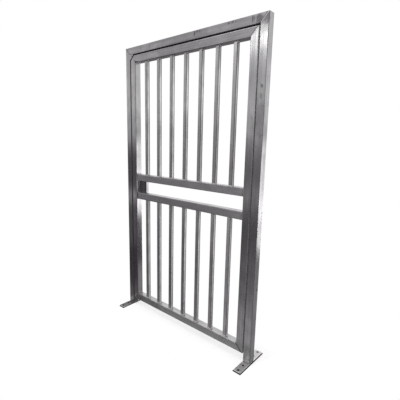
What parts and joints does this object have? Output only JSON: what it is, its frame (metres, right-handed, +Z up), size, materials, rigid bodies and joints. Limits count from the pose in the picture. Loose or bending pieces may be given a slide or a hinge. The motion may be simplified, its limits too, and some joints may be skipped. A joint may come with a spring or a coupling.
{
  "type": "turnstile side gate",
  "caption": "Side gate for a turnstile row: goalpost frame of square steel tube on two strip base plates, with one hinged leaf of upright bars, two middle rails and a lock case.",
  "frame": {"origin": "on the ground, at the middle of the underside of the latch post's base plate", "axes": "+X from the latch post to the hinge post, +Y to the rear (the side the leaf opens to), +Z up"},
  "size_m": [1.18, 0.26, 2],
  "materials": {
    "frame_steel": "drawn and brushed stainless tube with ground welds",
    "leaf_steel": "drawn and brushed stainless tube with ground welds",
    "bar_steel": "drawn and brushed stainless tube",
    "plate_steel": "hot-rolled pickled stainless flat bar",
    "lock_steel": "folded stainless sheet, satin",
    "hinge_steel": "turned stainless bar, weld-on",
    "pin_steel": "ground stainless pin"
  },
  "bodies": {
    "frame": {"latch_post": "frame_steel", "hinge_post": "frame_steel", "header": "frame_steel", "corner_gusset": "frame_steel", "latch_base_plate": "plate_steel", "hinge_base_plate": "plate_steel", "bottom_hinge_post_half": "hinge_steel", "middle_hinge_post_half": "hinge_steel", "top_hinge_post_half": "hinge_steel", "bottom_hinge_pin": "pin_steel", "middle_hinge_pin": "pin_steel", "top_hinge_pin": "pin_steel"},
    "leaf": {"latch_stile": "leaf_steel", "hinge_stile": "leaf_steel", "top_rail": "leaf_steel", "bottom_rail": "leaf_steel", "lower_mid_rail": "leaf_steel", "upper_mid_rail": "leaf_steel", "corner_cap": "leaf_steel", "lock_case": "lock_steel", "lower_bar_1": "bar_steel", "lower_bar_2": "bar_steel", "lower_bar_3": "bar_steel", "lower_bar_4": "bar_steel", "lower_bar_5": "bar_steel", "lower_bar_6": "bar_steel", "lower_bar_7": "bar_steel", "upper_bar_1": "bar_steel", "upper_bar_2": "bar_steel", "upper_bar_3": "bar_steel", "upper_bar_4": "bar_steel", "upper_bar_5": "bar_steel", "upper_bar_6": "bar_steel", "upper_bar_7": "bar_steel", "bottom_hinge_leaf_half": "hinge_steel", "middle_hinge_leaf_half": "hinge_steel", "top_hinge_leaf_half": "hinge_steel"}
  },
  "joints": [
    {"name": "leaf_hinge", "type": "hinge", "parent": "frame", "child": "leaf", "pos_m": [1.102, 0.034, 0.3], "axis": [0, 0, 1], "range_deg": [-90, 0]}
  ]
}
